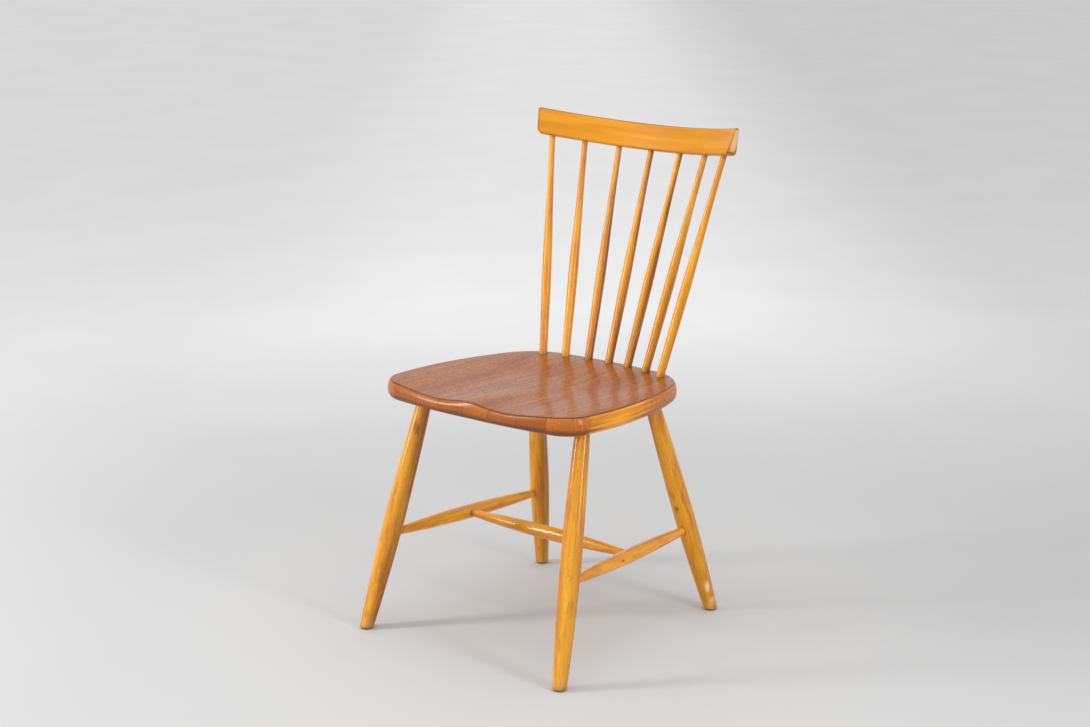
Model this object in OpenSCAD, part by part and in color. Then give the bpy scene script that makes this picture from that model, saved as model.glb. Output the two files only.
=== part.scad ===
// Dining chair with a solid laminated saddle seat, a spindle back, a bent crest rail and
// turned legs that an H stretcher ties together. +Z is up, the chair faces -Y and +X is the
// sitter's left. The origin is on the floor, under the middle of the chair's bounding box.

/* [Seat] */
// Height of the seat's top at the row of spindles
seat_h = 428; // [400:1:460]
// How far the seat slopes down towards the back, in degrees
seat_tilt = 1.8; // [0:0.1:4]
// Thickness at the rim
seat_t = 34; // [30:1:40]
// Depth of the two thigh hollows below the rim
hollow_depth = 9; // [4:0.5:10]
// Thickness of the veneer on top
veneer_t = 0.9; // [0.6:0.1:1.5]
// Glue lines between the staves, across the width
glue_lines = [-168, -114, -60, -6, 47, 103, 160];

/* [Legs] */
// Radius of a leg where it is fattest
leg_belly_r = 17.6; // [15:0.1:20]
// Radius of a leg at the floor
leg_foot_r = 11.4; // [10:0.1:14]
// Radius of a leg under the seat
leg_top_r = 12.2; // [11:0.1:14]
// Radius of the tenon that enters the seat
leg_tenon_r = 10; // [8:0.5:11]
// Depth of the leg sockets in the seat
leg_socket = 20; // [14:1:22]

/* [Stretchers] */
// Radius of a side stretcher in the middle
side_belly_r = 12.4; // [10:0.1:13]
// Radius of a side stretcher where it enters a leg
side_neck_r = 6.8; // [5:0.1:7]
// Radius of the cross stretcher in the middle
cross_belly_r = 12; // [9:0.1:13]
// Radius of the cross stretcher where it enters a side stretcher
cross_neck_r = 6; // [4:0.1:6.5]
// Height at which the side stretchers enter the front legs
stretcher_front_h = 164; // [150:1:180]
// Height at which the side stretchers enter the rear legs
stretcher_rear_h = 154; // [140:1:170]

/* [Back] */
// Number of spindles
spindles = 7; // [7:2:7]
// Radius of a spindle where it is fattest
spindle_belly_r = 8.4; // [7:0.1:9]
// Radius of a spindle where it enters the seat
spindle_foot_r = 7.2; // [6:0.1:8]
// Radius of a spindle where it enters the crest rail
spindle_tip_r = 5.1; // [4.5:0.1:5.4]
// Depth of the spindle sockets in the seat
spindle_socket = 20; // [14:1:22]
// Lean of the crest rail from upright, in degrees
crest_lean = 17.5; // [14:0.5:20]
// Height of the crest rail
crest_h = 46.5; // [40:0.5:50]
// Thickness of the crest rail near its lower edge
crest_t = 17; // [14:0.5:18]
// Radius of the crest rail's bend
crest_bend_r = 385; // [365:1:400]
// Distance from the middle to each end of the crest rail, at its lower edge
crest_half_w = 209.5; // [206:0.5:212]
// How far the crest rail's ends spread outwards as they rise, in degrees
crest_flare = 8.5; // [0:0.5:12]

/* [Glides] */
// Radius of the floor glides
glide_r = 10.6; // [9:0.1:11]
// Thickness of a glide's disc
glide_t = 2.2; // [1.5:0.1:3]
// Thickness of the pad under it
pad_t = 1.4; // [1:0.1:2]

/* [Hidden] */
STAVES = [for (i = [0:len(glue_lines)]) str("seat_stave_", i + 1)];
SPINDLES = [for (i = [0:spindles - 1]) str("spindle_", i + 1)];
CORNERS = ["front_left", "front_right", "rear_left", "rear_right"];
LEGS = [for (c = CORNERS) str("leg_", c)];
GLIDES = [for (c = CORNERS) str("glide_", c)];
PADS = [for (c = CORNERS) str("glide_pad_", c)];

beech = "goldenrod";
core_wood = "sienna";
teak = "rosybrown";
$fn = 48;
cut = 1; // how far a cutting solid runs past a face
box = 1000; // side of a cutting block

// Distances along Y are measured from the middle spindle's foot until the whole chair is
// moved by row_y, which centres its bounding box on the origin.
leg_ref_h = 388; // height at which the legs' upper ends are given
front_foot_at = [214, -402, 0];
front_head_at = [171.3, -292.3, leg_ref_h];
rear_foot_at = [193, 50.4, 0];
rear_head_at = [127.7, -45.6, leg_ref_h];
crest_mid = [0, 117.3, 788.5]; // middle of the crest rail's lower edge
crest_top_r = 3.2; // the rail's rounded upper edge
back_reach = crest_mid[1] + (crest_h - crest_top_r) * sin(crest_lean) + crest_top_r;
front_reach = leg_foot_r - front_foot_at[1];
row_y = (front_reach - back_reach) / 2;

// The legs' axes: where they meet the floor, and where they pass the height leg_ref_h.
row = [0, row_y, 0];
front_foot = row + front_foot_at;
front_head = row + front_head_at;
rear_foot = row + rear_foot_at;
rear_head = row + rear_head_at;
foot_z = glide_t + pad_t;

// The seat's outline: corner circles joined by big arcs that bow each edge outwards.
front_corner_r = 56;
rear_corner_r = 104;
front_corner = [157.5, -315];
rear_corner = [88.5, -95.5];
front_bow_r = 1350;
side_bow_r = 610;
rear_bow_r = 850;
edge_low_inset = 15.3; // how far the lower edge is rounded in
edge_top_inset = 6.4; // how far the upper edge is rounded in
veneer_inset = 4.4; // how far the veneer's rim lies inside the outline
edge_land = 0.03; // half of the upright land on the edge, as a share of the thickness

// ---------- small helpers ----------

function mix(a, b, t) = a + (b - a) * t;
function clamp01(v) = max(0, min(1, v));
function ease(a, b, v) = let (t = clamp01((v - a) / (b - a))) t * t * (3 - 2 * t);
function mirrored(p) = [-p[0], p[1], p[2]];
function at_height(p, q, z) = mix(p, q, (z - p[2]) / (q[2] - p[2]));
function arc(c, r, a0, a1, n) = [
    for (i = [0:n]) let (a = mix(a0, a1, i / n)) c + r * [cos(a), sin(a)]
];

// Puts the children's Z axis on the line from p towards q.
module along(p, q) {
    d = q - p;
    translate(p)
        rotate([0, acos(d[2] / norm(d)), atan2(d[1], d[0])])
            children();
}

module peg(p, q, r) {
    along(p, q) cylinder(h = norm(q - p), r = r);
}

// A turned stick from z = 0 to z = len with straight necks at both ends. Between them its
// radius is a function of t, which runs from 0 to 1. The quarter turn keeps its seam off the
// side that a slanted cut meets first.
module turned(len, neck0, neck1, radius, steps = 18) {
    body = [for (i = [0:steps]) [radius(i / steps), mix(neck0, len - neck1, i / steps)]];
    rotate(90)
        rotate_extrude()
            polygon(concat([[0, 0], [radius(0), 0]], body, [[radius(1), len], [0, len]]));
}

// Double taper: thickest at belly_at, falling to r0 and r1 at the ends.
function double_taper(t, r0, r_belly, r1, belly_at, power) =
    t < belly_at ? mix(r_belly, r0, pow((belly_at - t) / belly_at, power))
                 : mix(r_belly, r1, pow((t - belly_at) / (1 - belly_at), power));
cigar_power = 1.8; // how slowly a stretcher thins from its middle
function cigar(t, r_end, r_belly) = double_taper(t, r_end, r_belly, r_end, 0.5, cigar_power);

// ---------- seat ----------

// Seat coordinates: origin at the middle spindle's foot, z = 0 at the rim's top.
module seat_frame() {
    translate([0, row_y, seat_h]) rotate([-seat_tilt, 0, 0]) children();
}

function to_world(p) =
    [p[0], row_y + p[1] * cos(seat_tilt) + p[2] * sin(seat_tilt),
     seat_h - p[1] * sin(seat_tilt) + p[2] * cos(seat_tilt)];

// Centre of the arc of radius r that holds both corner circles.
function bow_centre(c1, r1, c2, r2, r) =
    let (d = c2 - c1, len = norm(d), u = d / len, a = r - r1, b = r - r2,
         m = (a * a - b * b + len * len) / (2 * len))
    c1 + u * m + sqrt(a * a - m * m) * [-u[1], u[0]];

side_bow = bow_centre(front_corner, front_corner_r, rear_corner, rear_corner_r, side_bow_r);
front_bow = [0, front_corner[1] + sqrt(pow(front_bow_r - front_corner_r, 2) - pow(front_corner[0], 2))];
rear_bow = [0, rear_corner[1] - sqrt(pow(rear_bow_r - rear_corner_r, 2) - pow(rear_corner[0], 2))];
seat_half_w = side_bow[0] + side_bow_r;

// Where the line that continues from `centre` through corner c meets the corner circle.
function touch(centre, c, r) = c + r * (c - centre) / norm(c - centre);

// The outline's front and rear edge at x, moved in by e.
function edge_y(x, e, corner, corner_r, bow, bow_r, way) =
    let (ax = abs(x),
         x1 = touch(bow, corner, corner_r - e)[0],
         x2 = touch(side_bow, corner, corner_r - e)[0])
    ax <= x1 ? bow[1] + way * sqrt(pow(bow_r - e, 2) - ax * ax) :
    ax <= x2 ? corner[1] + way * sqrt(max(0, pow(corner_r - e, 2) - pow(ax - corner[0], 2))) :
    side_bow[1] + way * sqrt(max(0, pow(side_bow_r - e, 2) - pow(ax - side_bow[0], 2)));
function front_y(x, e) =
    edge_y(x, e, front_corner, front_corner_r, front_bow, front_bow_r, -1);
function rear_y(x, e) = edge_y(x, e, rear_corner, rear_corner_r, rear_bow, rear_bow_r, 1);

function in_corner(p, c, bow, way) =
    way * cross(c - bow, p - c) >= 0 && way * cross(p - c, c - side_bow) >= 0;

// How far a point lies inside the outline.
function inset(x, y) =
    let (p = [abs(x), y])
    in_corner(p, front_corner, front_bow, 1) ? front_corner_r - norm(p - front_corner) :
    in_corner(p, rear_corner, rear_bow, -1) ? rear_corner_r - norm(p - rear_corner) :
    min(front_bow_r - norm(p - front_bow), rear_bow_r - norm(p - rear_bow),
        side_bow_r - norm(p - side_bow));

// Depth of the carved saddle below the rim: a dish that ends in front of the spindles, with a
// ridge that rises towards the front between the thighs. Each pair holds the distances from
// the middle, or ahead of the spindles, between which the shape changes.
dish_across = [70, 205];
dish_ahead = [18, 150];
ridge_ahead = [205, 360];
ridge_w = 38.7;
ridge_share = 0.72; // how much of the dish the ridge fills at the front
function hollow(x, y) =
    let (across = 1 - ease(dish_across[0], dish_across[1], abs(x)),
         ahead = ease(dish_ahead[0], dish_ahead[1], -y),
         ridge = ridge_share * exp(-pow(x / ridge_w, 2)) * ease(ridge_ahead[0], ridge_ahead[1], -y))
    hollow_depth * across * ahead * (1 - ridge);

// The core's upper and lower surface: an egg-shaped edge round a carved top and a flat base.
function bulge(d, r) = d >= r ? 1 : sqrt(1 - pow(1 - max(0, d) / r, 2));
function core_height(x, y) = seat_t - veneer_t - hollow(x, y);
function core_top(x, y) = -seat_t + core_height(x, y)
    * mix(0.5 + edge_land, 1, bulge(inset(x, y), edge_top_inset));
function core_base(x, y) = -seat_t + core_height(x, y)
    * mix(0.5 - edge_land, 0, bulge(inset(x, y), edge_low_inset));

// Sample points: stations across the seat, and at each one a row from its front to its rear
// edge that is finest near both.
rim_share = 0.9;
rim_x = seat_half_w - veneer_inset / rim_share;
stave_steps = 3;
rim_steps = 2;
row_steps = 16;
last_line = len(glue_lines) - 1;
left_rim = [mix(glue_lines[last_line], rim_x, 0.4), mix(glue_lines[last_line], rim_x, 0.75), rim_x];
right_rim = [-rim_x, mix(-rim_x, glue_lines[0], 0.3), mix(-rim_x, glue_lines[0], 0.65)];
function rim_inset(x) = min(veneer_inset, rim_share * (seat_half_w - abs(x)));
function inner_row(x) =
    let (e = rim_inset(x), y0 = front_y(x, e), y1 = rear_y(x, e))
    [for (k = [0:row_steps]) mix(y0, y1, 0.5 - 0.5 * cos(180 * k / row_steps))];
function full_row(x) =
    let (e = rim_inset(x))
    concat([for (k = [0:rim_steps - 1]) front_y(x, e * pow(k / rim_steps, 2))],
        inner_row(x),
        [for (k = [rim_steps - 1:-1:0]) rear_y(x, e * pow(k / rim_steps, 2))]);

function spread(x0, x1) = [for (k = [0:stave_steps]) mix(x0, x1, k / stave_steps)];
function spread_open(x0, x1) = [for (k = [0:stave_steps - 1]) mix(x0, x1, k / stave_steps)];
// From the veneer's rim outwards to the seat's side, ever finer.
edge_steps = [2.2, 0.7, 0.1];
left_edge = [for (e = edge_steps) seat_half_w - e];
right_edge = [for (i = [len(left_edge) - 1:-1:0]) -left_edge[i]];

function stave_stations(i) =
    i == 0 ? concat(right_edge, right_rim, [glue_lines[0]]) :
    i == last_line + 1 ? concat([glue_lines[last_line]], left_rim, left_edge) :
    spread(glue_lines[i - 1], glue_lines[i]);
veneer_stations = concat(right_rim,
    [for (i = [1:last_line]) each spread_open(glue_lines[i - 1], glue_lines[i])],
    [glue_lines[last_line]], left_rim);

// A closed solid between two sheets of points, given as rows with the same count.
module sheet_solid(upper, lower) {
    rows = len(upper);
    n = len(upper[0]);
    low = rows * n;
    function quad(a, b, c, d) = [[a, b, c], [a, c, d]];
    polyhedron(
        points = concat([for (r = upper) each r], [for (r = lower) each r]),
        faces = concat(
            [for (i = [0:rows - 2], j = [0:n - 2]) let (a = i * n + j)
                each quad(a, a + 1, a + n + 1, a + n)],
            [for (i = [0:rows - 2], j = [0:n - 2]) let (a = low + i * n + j)
                each quad(a, a + n, a + n + 1, a + 1)],
            [for (i = [0:rows - 2]) let (a = i * n)
                each quad(a, a + n, low + a + n, low + a)],
            [for (i = [0:rows - 2]) let (a = i * n + n - 1)
                each quad(a, low + a, low + a + n, a + n)],
            [for (j = [0:n - 2]) each quad(j, low + j, low + j + 1, j + 1)],
            [for (j = [0:n - 2]) let (a = (rows - 1) * n + j)
                each quad(a, a + 1, low + a + 1, low + a)]));
}

module seat_sockets() {
    for (i = [0:spindles - 1]) spindle_hole(i);
    for (c = CORNERS) leg_hole(c);
}

module seat_stave(i) {
    stations = stave_stations(i);
    color(core_wood)
        difference() {
            seat_frame()
                sheet_solid(
                    [for (x = stations) [for (y = full_row(x)) [x, y, core_top(x, y)]]],
                    [for (x = stations) [for (y = full_row(x)) [x, y, core_base(x, y)]]]);
            seat_sockets();
        }
}

module seat_veneer() {
    color(teak)
        difference() {
            seat_frame()
                sheet_solid(
                    [for (x = veneer_stations)
                        [for (y = inner_row(x)) [x, y, core_top(x, y) + veneer_t]]],
                    [for (x = veneer_stations) [for (y = inner_row(x)) [x, y, core_top(x, y)]]]);
            for (i = [0:spindles - 1]) spindle_hole(i);
        }
}

// ---------- legs ----------

function side_of(name) = name == "front_left" || name == "rear_left" ? 1 : -1;
function is_front(name) = name == "front_left" || name == "front_right";
function sided(p, name) = side_of(name) > 0 ? p : mirrored(p);
function foot_of(name) = sided(is_front(name) ? front_foot : rear_foot, name);
function head_of(name) = sided(is_front(name) ? front_head : rear_head, name);

// Where a leg's axis passes the seat's underside.
function leg_shoulder(name) =
    let (p = foot_of(name), q = head_of(name), n = [0, sin(seat_tilt), cos(seat_tilt)],
         o = to_world([0, 0, -seat_t]))
    p + (q - p) * (((o - p) * n) / ((q - p) * n));

module leg_hole(name) {
    s = leg_shoulder(name);
    u = (s - foot_of(name)) / norm(s - foot_of(name));
    peg(s - u * leg_top_r, s + u * leg_socket, leg_tenon_r);
}

leg_belly_at = 0.46; // where a leg is fattest, as a share of its length
leg_power = 1.7; // how slowly it thins from there
overrun = 12; // the turning runs this far past both cut faces

module leg(name) {
    foot = foot_of(name);
    s = leg_shoulder(name);
    u = (s - foot) / norm(s - foot);
    len = norm(s - foot) + 2 * overrun;
    color(beech)
        difference() {
            union() {
                difference() {
                    along(foot - u * overrun, s)
                        turned(len, overrun / 2, overrun / 2, function (t)
                            double_taper(t, leg_foot_r, leg_belly_r, leg_top_r,
                                leg_belly_at, leg_power));
                    seat_frame() translate([-box / 2, -box / 2, -seat_t]) cube(box);
                }
                peg(s - u * overrun, s + u * leg_socket, leg_tenon_r);
            }
            translate([-box / 2, -box / 2, foot_z - box]) cube(box);
            stretcher_hole(name);
            glide_nail_at(name);
        }
}

// ---------- stretchers ----------

function stretcher_end(name) = at_height(foot_of(name), head_of(name),
    is_front(name) ? stretcher_front_h : stretcher_rear_h);

tenon_stop = 4; // a side stretcher's tenon ends this far from the leg's axis
cross_stop = 3; // the cross stretcher's tenon ends this far from the side stretcher's axis
bore_run = 8; // how far the tool that bores a socket runs out past the wood

function side_from(front) = let (a = stretcher_end(front[0]), b = stretcher_end(front[1]))
    a + (b - a) / norm(b - a) * tenon_stop;
LEFT = ["front_left", "rear_left"];
RIGHT = ["front_right", "rear_right"];
function side_mid(pair) = (stretcher_end(pair[0]) + stretcher_end(pair[1])) / 2;
function pair_of(name) = side_of(name) > 0 ? LEFT : RIGHT;

module stretcher_hole(name) {
    pair = pair_of(name);
    a = stretcher_end(name);
    b = stretcher_end(is_front(name) ? pair[1] : pair[0]);
    u = (b - a) / norm(b - a);
    peg(a + u * tenon_stop, a + u * (leg_belly_r + bore_run), side_neck_r);
}

module side_stretcher(pair) {
    a = side_from(pair);
    b = side_from([pair[1], pair[0]]);
    neck = leg_belly_r - tenon_stop + 2 * cut;
    color(beech)
        difference() {
            along(a, b)
                turned(norm(b - a), neck, neck, function (t) cigar(t, side_neck_r, side_belly_r));
            cross_tenon_hole(pair);
        }
}

function cross_end(pair) =
    let (m = side_mid(pair), c = mirrored(m)) m + (c - m) / norm(c - m) * cross_stop;

module cross_tenon_hole(pair) {
    a = cross_end(pair);
    peg(a, [0, a[1], a[2]], cross_neck_r);
}

module cross_stretcher() {
    a = cross_end(LEFT);
    b = cross_end(RIGHT);
    neck = side_belly_r - cross_stop + 3 * cut;
    color(beech)
        along(a, b)
            turned(norm(b - a), neck, neck, function (t) cigar(t, cross_neck_r, cross_belly_r));
}

// ---------- back ----------

// The spindles' feet lie on an arc in the seat and their tips on the crest rail's bend.
foot_x = [-129, -88.3, -43.1, 0, 43.1, 88.3, 129];
tip_x = [-186, -130.4, -66.1, 0, 66.1, 130.4, 186];
foot_bend_r = 358;
crest_socket = 20;
spindle_belly_at = 0.36; // where a spindle is fattest, as a share of its length
spindle_power = 1.3; // how quickly it thins towards its tip

function spindle_foot(i) =
    to_world([foot_x[i], sqrt(pow(foot_bend_r, 2) - pow(foot_x[i], 2)) - foot_bend_r, 0]);

// Crest coordinates: origin under the middle of the rail, Z up its height, the bend's axis at
// y = -crest_bend_r.
module crest_frame() {
    translate(crest_mid + [0, row_y, 0]) rotate([-crest_lean, 0, 0]) children();
}

function crest_point(x, r_offset, z) =
    let (r = crest_bend_r + r_offset, y = sqrt(r * r - x * x) - crest_bend_r)
    [x, crest_mid[1] + row_y + y * cos(crest_lean) + z * sin(crest_lean),
     crest_mid[2] - y * sin(crest_lean) + z * cos(crest_lean)];

function spindle_tip(i) = crest_point(tip_x[i], 0, 0);

module spindle_hole(i) {
    p = spindle_foot(i);
    q = spindle_tip(i);
    u = (q - p) / norm(q - p);
    peg(p - u * spindle_socket, p + u * bore_run, spindle_foot_r);
}

module spindle_tip_hole(i) {
    p = spindle_foot(i);
    q = spindle_tip(i);
    u = (q - p) / norm(q - p);
    peg(q - u * bore_run, q + u * crest_socket, spindle_tip_r);
}

// A long club: slender at the tip, fattest a third of the way up and a little less at the foot.
function spindle_radius(t) = t < spindle_belly_at
    ? mix(spindle_belly_r, spindle_foot_r, ease(0, spindle_belly_at, spindle_belly_at - t))
    : mix(spindle_tip_r, spindle_belly_r,
        ease(0, 1, pow((1 - t) / (1 - spindle_belly_at), spindle_power)));

module spindle(i) {
    p = spindle_foot(i);
    q = spindle_tip(i);
    u = (q - p) / norm(q - p);
    a = p - u * spindle_socket;
    b = q + u * crest_socket;
    color(beech)
        along(a, b)
            turned(norm(b - a), spindle_socket + 5 * cut, crest_socket + 3 * cut,
                function (t) spindle_radius(t));
}

// The rail's cross-section: a wedge with rounded edges, thick at the bottom.
crest_low_r = 5; // the rail's rounded lower edges

module crest_section() {
    half = crest_t / 2 - crest_low_r;
    taper = asin((crest_t / 2 - crest_top_r) / (crest_h - crest_low_r - crest_top_r));
    polygon(concat(
        arc([crest_bend_r - half, crest_low_r], crest_low_r, 180 - taper, 270, 5),
        arc([crest_bend_r + half, crest_low_r], crest_low_r, 270, 360 + taper, 5),
        arc([crest_bend_r, crest_h - crest_top_r], crest_top_r, taper, 180 - taper, 8)));
}

crest_low_corner_r = 9;
crest_top_corner_r = 5;
crest_spare = 16; // extra length at each end before the ends are cut

// What cuts the left end of the rail along a plane that leans outwards, with round corners.
// It is drawn with Y along the bend's radius, and the cut plane through its origin.
module crest_end_cut() {
    deep = crest_t * 4;
    rotate([0, crest_flare, 0])
        translate([0, -deep / 2, 0]) {
            translate([0, 0, -crest_h]) cube([crest_spare * 2, deep, crest_h * 3]);
            corner_cut(crest_low_corner_r, deep);
            translate([0, 0, crest_h / cos(crest_flare)])
                mirror([0, 0, 1]) corner_cut(crest_top_corner_r, deep);
        }
}

// The waste outside a round corner of radius r between x = 0 and z = 0.
module corner_cut(r, deep) {
    difference() {
        translate([-r, 0, -r]) cube([r + cut, deep, 2 * r]);
        translate([-r, -cut, r]) rotate([-90, 0, 0]) cylinder(h = deep + 2 * cut, r = r);
    }
}

module crest_rail() {
    end = asin(crest_half_w / crest_bend_r);
    long_end = asin((crest_half_w + crest_spare) / crest_bend_r);
    color(beech)
        difference() {
            crest_frame()
                translate([0, -crest_bend_r, 0])
                    difference() {
                        rotate([0, 0, 90 - long_end])
                            rotate_extrude(angle = 2 * long_end) crest_section();
                        for (side = [0, 1])
                            mirror([side, 0, 0])
                                rotate([0, 0, -end])
                                    translate([0, crest_bend_r, 0]) crest_end_cut();
                    }
            for (i = [0:spindles - 1]) spindle_tip_hole(i);
        }
}

// ---------- glides ----------

nail_r = 0.9;
nail_head_r = 3;
nail_head_t = 1;
nail_l = 14;
pad_inset = 0.4; // the pad is this much smaller than the disc, all round

function foot_centre(name) = at_height(foot_of(name), head_of(name), foot_z);

module glide_nail_at(name) {
    c = foot_centre(name);
    translate([c[0], c[1], pad_t]) {
        cylinder(h = nail_head_t, r = nail_head_r);
        cylinder(h = nail_l, r = nail_r);
    }
}

module glide(name) {
    c = foot_centre(name);
    color("saddlebrown")
        difference() {
            translate([c[0], c[1], pad_t]) cylinder(h = glide_t, r = glide_r);
            glide_nail_at(name);
        }
}

module glide_pad(name) {
    c = foot_centre(name);
    color("tan") translate([c[0], c[1], 0]) cylinder(h = pad_t, r = glide_r - pad_inset);
}

module glide_nails() {
    color("silver") for (c = CORNERS) glide_nail_at(c);
}

// ---------- the chair ----------

for (i = [0:len(STAVES) - 1]) seat_stave(i);
seat_veneer();
for (c = CORNERS) leg(c);
side_stretcher(LEFT);  // side_stretcher_left
side_stretcher(RIGHT);  // side_stretcher_right
cross_stretcher();
for (i = [0:spindles - 1]) spindle(i);
crest_rail();
for (c = CORNERS) glide(c);
for (c = CORNERS) glide_pad(c);
glide_nails();
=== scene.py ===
# %% [markdown]
# # A spindle-back dining chair
# The chair has a carved seat under a sheet of dark veneer, four turned legs tied by an H of
# stretchers, seven turned spindles and a bent crest rail. Every stick is a solid of
# revolution, the seat is a carved slab and the rail is a bent, wedge-shaped board.
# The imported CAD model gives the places. Each visible surface is then worked out again with
# numpy, finely enough for close light, and stands in for its CAD node.

# %% Load the frame
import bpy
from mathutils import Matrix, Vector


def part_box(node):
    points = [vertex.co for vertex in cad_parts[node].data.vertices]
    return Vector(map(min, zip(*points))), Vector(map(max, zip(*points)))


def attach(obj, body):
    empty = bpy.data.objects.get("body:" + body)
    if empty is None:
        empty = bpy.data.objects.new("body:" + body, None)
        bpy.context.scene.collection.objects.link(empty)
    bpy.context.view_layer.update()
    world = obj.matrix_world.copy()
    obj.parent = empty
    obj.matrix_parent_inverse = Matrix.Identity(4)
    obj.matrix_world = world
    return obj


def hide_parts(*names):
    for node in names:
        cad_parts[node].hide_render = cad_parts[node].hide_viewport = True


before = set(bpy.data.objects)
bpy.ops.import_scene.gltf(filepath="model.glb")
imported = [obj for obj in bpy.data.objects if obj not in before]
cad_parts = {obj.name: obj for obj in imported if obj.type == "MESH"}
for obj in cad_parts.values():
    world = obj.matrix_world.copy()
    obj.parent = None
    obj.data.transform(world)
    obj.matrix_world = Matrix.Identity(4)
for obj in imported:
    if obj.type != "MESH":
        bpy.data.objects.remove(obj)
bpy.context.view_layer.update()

# %% Libraries
import bmesh
import bpy
import numpy as np
from mathutils import Vector

# %% [markdown]
# ## Small helpers
# A chair has few curves, but they come back on many pieces. Linear mixing and a smooth step
# are enough to write a taper, a belly or a carved hollow. Numpy applies them to whole arrays,
# so one line of arithmetic shapes thousands of points.

# %% Mixing, easing and angles
MM = 0.001


def mix(a, b, t):
    """A straight mix: a where t is 0, b where t is 1."""
    return a + (b - a) * t


def ease(a, b, v):
    """A smooth step: 0 below a, 1 above b, and 3t^2 - 2t^3 between them."""
    t = np.clip((np.asarray(v, float) - a) / (b - a), 0, 1)
    return t * t * (3 - 2 * t)


def unit(v):
    """The same direction, one long."""
    return np.asarray(v, float) / np.linalg.norm(v)


def deg(a):
    """Degrees as radians."""
    return a * np.pi / 180


# %% [markdown]
# ## From arrays to pieces
# A tube of rings is the simplest closed skin: each ring joins the next with quads, and a fan
# closes each end. Blender could build one with its Spin or Screw tools, but rings of points
# let each ring tilt and bulge as the real cut does. After the points are in, doubles are
# merged and the faces are turned outwards, so that the mesh is a sound solid.

# %% Faces of a tube, a fan and a sheet
def tube_faces(n, m):
    """Quads between n rings of m points, each ring closed on itself."""
    i, j = np.meshgrid(np.arange(n - 1), np.arange(m), indexing="ij")
    a = i * m + j
    b = i * m + (j + 1) % m
    return np.stack([a, b, b + m, a + m], -1).reshape(-1, 4)


def fan_faces(ring, tip):
    """Triangles from each side of a closed ring of point numbers to one tip."""
    return np.stack([ring, np.roll(ring, -1), np.full_like(ring, tip)], -1)


def sheet_faces(n, m):
    """Quads of an open sheet of n rows of m points."""
    i, j = np.meshgrid(np.arange(n - 1), np.arange(m - 1), indexing="ij")
    a = i * m + j
    return np.stack([a, a + 1, a + m + 1, a + m], -1).reshape(-1, 4)


# %% A closed mesh from points and faces
def closed_mesh(name, points, face_sets, sharp=40):
    """Merges doubles, turns faces outwards, and smooths every edge flatter than sharp degrees."""
    faces = [row for part in face_sets for row in np.asarray(part).tolist()]
    mesh = bpy.data.meshes.new(name)
    mesh.from_pydata(np.asarray(points).reshape(-1, 3).tolist(), [], faces)
    settle(mesh, sharp)
    return mesh


def settle(mesh, sharp=40):
    """Welds a mesh, drops faces without area and points its faces outwards."""
    bm = bmesh.new()
    bm.from_mesh(mesh)
    bmesh.ops.remove_doubles(bm, verts=bm.verts, dist=0.002 * MM)
    bmesh.ops.dissolve_degenerate(bm, edges=bm.edges, dist=0.001 * MM)
    bmesh.ops.recalc_face_normals(bm, faces=bm.faces)
    bm.to_mesh(mesh)
    bm.free()
    mesh.polygons.foreach_set("use_smooth", np.ones(len(mesh.polygons), bool))
    mesh.set_sharp_from_angle(angle=deg(sharp))
    mesh.update()


# %% Rings to a solid
def tube_mesh(name, rings, sharp=40):
    """A closed skin over rings of points, with a fan to the middle of each end ring."""
    n, m = rings.shape[:2]
    points = np.vstack([rings.reshape(-1, 3), rings[0].mean(0), rings[-1].mean(0)])
    first, last = np.arange(m), np.arange(m) + (n - 1) * m
    ends = [fan_faces(first, n * m), fan_faces(last[::-1], n * m + 1)]
    return closed_mesh(name, points, [tube_faces(n, m), *ends], sharp)


# %% Points, normals and attributes
def points_of(mesh):
    """The mesh's points as an array of rows."""
    co = np.zeros(len(mesh.vertices) * 3)
    mesh.vertices.foreach_get("co", co)
    return co.reshape(-1, 3)


def normals_of(mesh):
    """The mesh's point normals as an array of rows."""
    n = np.zeros(len(mesh.vertices) * 3)
    mesh.vertex_normals.foreach_get("vector", n)
    return n.reshape(-1, 3)


def mark(mesh, **values):
    """Stores named values on the mesh's points: one number each, or three for a place."""
    for name, value in values.items():
        value = np.asarray(value, np.float32)
        three = value.ndim == 2
        kind = "FLOAT_VECTOR" if three else "FLOAT"
        layer = mesh.attributes.new(name, kind, "POINT")
        layer.data.foreach_set("vector" if three else "value", value.ravel())


# %% Put a piece in the scene
def add_piece(mesh, slot, material, *nodes):
    """Links the mesh as a piece that rides the frame and stands in for the CAD nodes named."""
    piece = bpy.data.objects.new(mesh.name, mesh)
    bpy.context.scene.collection.objects.link(piece)
    mesh.materials.append(material)
    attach(piece, "root")
    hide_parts(*nodes)
    co = points_of(mesh)
    low = np.min([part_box(n)[0] for n in nodes], 0)
    high = np.max([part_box(n)[1] for n in nodes], 0)
    gap = max(np.abs(co.min(0) - low).max(), np.abs(co.max(0) - high).max())
    print(f"{mesh.name}: {len(mesh.polygons)} faces, box within {gap / MM:.2f} mm of the CAD")


# %% [markdown]
# ## Material building blocks
# A material is a small graph of nodes. These helpers add one node at a time with its inputs,
# so that a finish reads as a list of steps: stretch the wood's own coordinates along the
# fibre, draw noise in them, and turn the noise into colour, gloss and relief.
# The coordinates come from a "grain" attribute that each piece carries: metres in the block
# the piece was cut from, with the fibre along Z. Turned, bent and sawn faces then all show
# the figure that a cut at that place would really open up.

# %% Adding nodes
def start_material(name, **sockets):
    """A new material, its tree and its main shader, with plain values on the shader's sockets."""
    material = bpy.data.materials.new(name)
    material.use_nodes = True
    tree = material.node_tree
    shader = tree.nodes["Principled BSDF"]
    for socket, value in sockets.items():
        shader.inputs[socket.replace("_", " ")].default_value = value
    return material, tree, shader


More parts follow.
